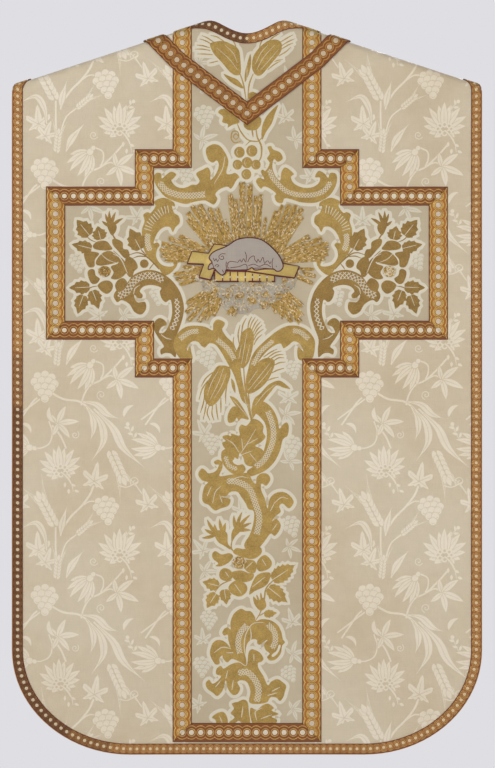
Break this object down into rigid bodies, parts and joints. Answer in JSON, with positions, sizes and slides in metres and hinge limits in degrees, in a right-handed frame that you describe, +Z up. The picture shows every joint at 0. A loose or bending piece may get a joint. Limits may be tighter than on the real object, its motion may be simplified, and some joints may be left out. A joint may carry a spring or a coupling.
{
  "type": "chasuble",
  "caption": "Fiddleback chasuble of cream silk damask with a stepped cross orphrey, gold figured braids and an embroidered lamb, hanging from its shoulders.",
  "frame": {"origin": "on the mid-plane between the two panels, midway between the neck points and at their height", "axes": "+Z up, +Y from the back panel to the front panel, +X across the shoulders"},
  "size_m": [0.6822, 0.0314, 1.0685],
  "materials": {
    "silk_damask": "figured silk damask, satin figures on a ribbed ground",
    "orphrey_brocade": "silk brocade with flat gold-thread figures",
    "wide_braid": "brown silk braid with gold-thread rings and pale discs",
    "narrow_braid": "narrow brown silk braid with gold-thread rings and pale dots",
    "gold_embroidery": "couched gold thread and purl",
    "silver_embroidery": "silver thread and grey silk",
    "lining_silk": "golden-orange silk lining",
    "interlining_linen": "stiff linen canvas"
  },
  "bodies": {
    "back": {"back_lining": "lining_silk", "back_interlining": "interlining_linen", "back_cross_orphrey": "orphrey_brocade", "back_left_field": "silk_damask", "back_right_field": "silk_damask", "back_edge_braid": "narrow_braid", "back_neck_braid": "narrow_braid", "back_cross_braid_foot": "wide_braid", "back_cross_braid_left": "wide_braid", "back_cross_braid_right": "wide_braid", "back_v_band": "wide_braid", "emblem_clouds": "silver_embroidery", "emblem_book": "gold_embroidery", "emblem_cross": "gold_embroidery", "emblem_lamb": "silver_embroidery", "rose_heart_left": "gold_embroidery", "rose_heart_right": "gold_embroidery", "rose_heart_column": "gold_embroidery", "rays_top": "gold_embroidery", "rays_upper_left": "gold_embroidery", "rays_upper_right": "gold_embroidery", "rays_left": "gold_embroidery", "rays_right": "gold_embroidery", "rays_lower_left": "gold_embroidery", "rays_lower_right": "gold_embroidery", "rays_foot_left": "gold_embroidery", "rays_foot_right": "gold_embroidery", "left_shoulder_lining": "lining_silk", "left_shoulder_interlining": "interlining_linen", "left_shoulder_orphrey": "orphrey_brocade", "left_shoulder_field": "silk_damask", "left_shoulder_neck_braid": "narrow_braid", "left_shoulder_column_braid": "wide_braid", "left_shoulder_v_band": "wide_braid", "left_shoulder_edge_braid": "narrow_braid", "right_shoulder_lining": "lining_silk", "right_shoulder_interlining": "interlining_linen", "right_shoulder_orphrey": "orphrey_brocade", "right_shoulder_field": "silk_damask", "right_shoulder_neck_braid": "narrow_braid", "right_shoulder_column_braid": "wide_braid", "right_shoulder_v_band": "wide_braid", "right_shoulder_edge_braid": "narrow_braid"},
    "front": {"front_lining": "lining_silk", "front_interlining": "interlining_linen", "front_column_orphrey": "orphrey_brocade", "front_left_field": "silk_damask", "front_right_field": "silk_damask", "front_edge_braid": "narrow_braid", "front_neck_braid": "narrow_braid", "front_column_braid_foot": "wide_braid", "front_column_braid_left": "wide_braid", "front_column_braid_right": "wide_braid", "front_v_band": "wide_braid"}
  },
  "joints": [
    {"name": "front_panel_swing", "type": "hinge", "parent": "back", "child": "front", "pos_m": [0, 0.011, -0.0145], "axis": [1, 0, 0], "range_deg": [0, 30]}
  ]
}
